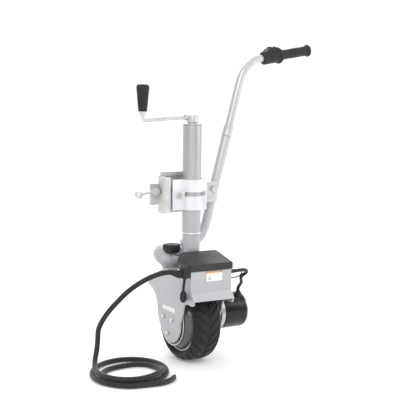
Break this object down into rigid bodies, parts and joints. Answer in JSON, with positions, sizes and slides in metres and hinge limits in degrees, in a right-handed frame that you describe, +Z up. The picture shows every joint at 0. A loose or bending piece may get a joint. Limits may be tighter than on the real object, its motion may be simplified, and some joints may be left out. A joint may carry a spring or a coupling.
{
  "type": "trailer jack wheel",
  "caption": "Motor-driven trailer jack wheel: bolt-on clamp, telescopic crank column, hooded drive wheel with side motor, control box with power cable, steering handle with switch.",
  "frame": {"origin": "middle of the mounting plate's rear face, which bolts against the drawbar", "axes": "+Z up along the column, +Y out of the plate's rear face towards the drawbar, +X towards the motor and the steering grip"},
  "size_m": [0.9099, 0.3906, 1.0492],
  "materials": {
    "zinc": "bright zinc plate",
    "jaw_metal": "satin",
    "flange_metal": "machined",
    "steel": "bright",
    "column_paint": "satin silver paint",
    "handle_paint": "satin silver paint",
    "housing_paint": "satin silver-grey paint",
    "dome_plastic": "silver-grey",
    "black_plastic": "fine grained black",
    "relay_plastic": "black",
    "rim_plastic": "gloss black",
    "motor_paint": "gloss black paint",
    "tyre_rubber": "moulded",
    "grip_rubber": "matt black",
    "cable_rubber": "matt black",
    "label_paper": "printed film"
  },
  "bodies": {
    "clamp": {"mounting_plate": "zinc", "rear_bracket": "zinc", "plate_bolt_left": "zinc", "plate_bolt_right": "zinc"},
    "jaw": {"front_jaw": "jaw_metal", "clamp_stud": "steel"},
    "nut": {"clamp_nut": "zinc"},
    "lever": {"clamp_lever": "zinc", "lever_ball": "zinc"},
    "outer_column": {"outer_tube": "column_paint", "top_cap": "column_paint"},
    "crank": {"crank_hub": "zinc", "lift_screw": "steel", "crank_arm": "zinc"},
    "crank_grip": {"crank_grip": "black_plastic"},
    "inner_column": {"inner_tube": "zinc", "lift_nut": "steel"},
    "wheel_unit": {"column_socket": "column_paint", "hood": "housing_paint", "left_leg": "housing_paint", "right_leg": "housing_paint", "leg_bolt_1": "zinc", "leg_bolt_2": "zinc", "leg_bolt_3": "zinc", "leg_label": "label_paper", "warning_label": "label_paper", "control_lid": "black_plastic", "relay_1": "relay_plastic", "relay_2": "relay_plastic", "rear_housing": "dome_plastic", "axle": "steel", "motor_flange": "flange_metal", "motor_body": "motor_paint", "motor_end_cap": "flange_metal", "motor_gland": "black_plastic", "motor_lead": "cable_rubber", "power_gland": "black_plastic", "fuse_lead": "cable_rubber", "fuse_holder": "black_plastic", "knob_cable": "cable_rubber", "handle_lower_tube": "handle_paint", "handle_collar": "black_plastic", "power_cable": "cable_rubber", "cable_coil": "cable_rubber", "cable_terminal": "cable_rubber"},
    "wheel": {"tyre": "tyre_rubber", "rim_drum": "rim_plastic", "ring_gear": "steel", "gear_carrier": "steel"},
    "rotor": {"motor_shaft": "steel"},
    "release_knob": {"release_knob": "black_plastic"},
    "handle": {"handle_upper_tube": "handle_paint", "switch_housing": "black_plastic", "handle_grip": "grip_rubber"},
    "rocker": {"rocker_switch": "black_plastic"}
  },
  "joints": [
    {"name": "clamp_nut_turn", "type": "hinge", "parent": "jaw", "child": "nut", "pos_m": [-0.054, -0.069, -0.001], "axis": [0, -1, 0], "range_deg": [0, 1080]},
    {"name": "jaw_release", "type": "slide", "parent": "clamp", "child": "jaw", "axis": [0, -1, 0], "range_m": [0, 0.00525]},
    {"name": "lever_turn", "type": "hinge", "parent": "clamp", "child": "lever", "pos_m": [-0.112, -0.013, 0.01], "axis": [0, 1, 0], "range_deg": [-70, 70]},
    {"name": "clamp_slide", "type": "slide", "parent": "clamp", "child": "outer_column", "axis": [0, 0, 1], "range_m": [-0.15, 0.02]},
    {"name": "crank_turn", "type": "hinge", "parent": "outer_column", "child": "crank", "pos_m": [0, -0.053, 0.24], "axis": [0, 0, -1], "range_deg": [0, 14400]},
    {"name": "crank_grip_spin", "type": "hinge", "parent": "crank", "child": "crank_grip", "pos_m": [-0.18, -0.053, 0.31], "axis": [0, 0, 1], "continuous": true},
    {"name": "lift", "type": "slide", "parent": "outer_column", "child": "inner_column", "axis": [0, 0, -1], "range_m": [0, 0.24]},
    {"name": "steer", "type": "hinge", "parent": "inner_column", "child": "wheel_unit", "pos_m": [0, -0.053, -0.19], "axis": [0, 0, 1], "range_deg": [-90, 90]},
    {"name": "wheel_spin", "type": "hinge", "parent": "wheel_unit", "child": "wheel", "pos_m": [0, -0.049, -0.41], "axis": [1, 0, 0], "continuous": true},
    {"name": "motor_spin", "type": "hinge", "parent": "wheel_unit", "child": "rotor", "pos_m": [0.1, -0.049, -0.394], "axis": [1, 0, 0], "continuous": true},
    {"name": "release_turn", "type": "hinge", "parent": "wheel_unit", "child": "release_knob", "pos_m": [-0.043, -0.001, -0.185], "axis": [0, 0, 1], "range_deg": [0, 90]},
    {"name": "handle_extend", "type": "slide", "parent": "wheel_unit", "child": "handle", "axis": [0.2607, 0, 0.9654], "range_m": [0, 0.08]},
    {"name": "rocker_press", "type": "hinge", "parent": "handle", "child": "rocker", "pos_m": [0.36592, 0.035, 0.48674], "axis": [0, 1, 0], "range_deg": [-7, 7], "stiffness_Nm_per_rad": 0.08}
  ],
  "couplings": [
    {"joint": "clamp_nut_turn", "follows": "jaw_release", "rad_per_m": 3590.4},
    {"joint": "lift", "follows": "crank_turn", "m_per_rad": 0.00095493},
    {"joint": "motor_spin", "follows": "wheel_spin", "ratio": 3.1333}
  ]
}
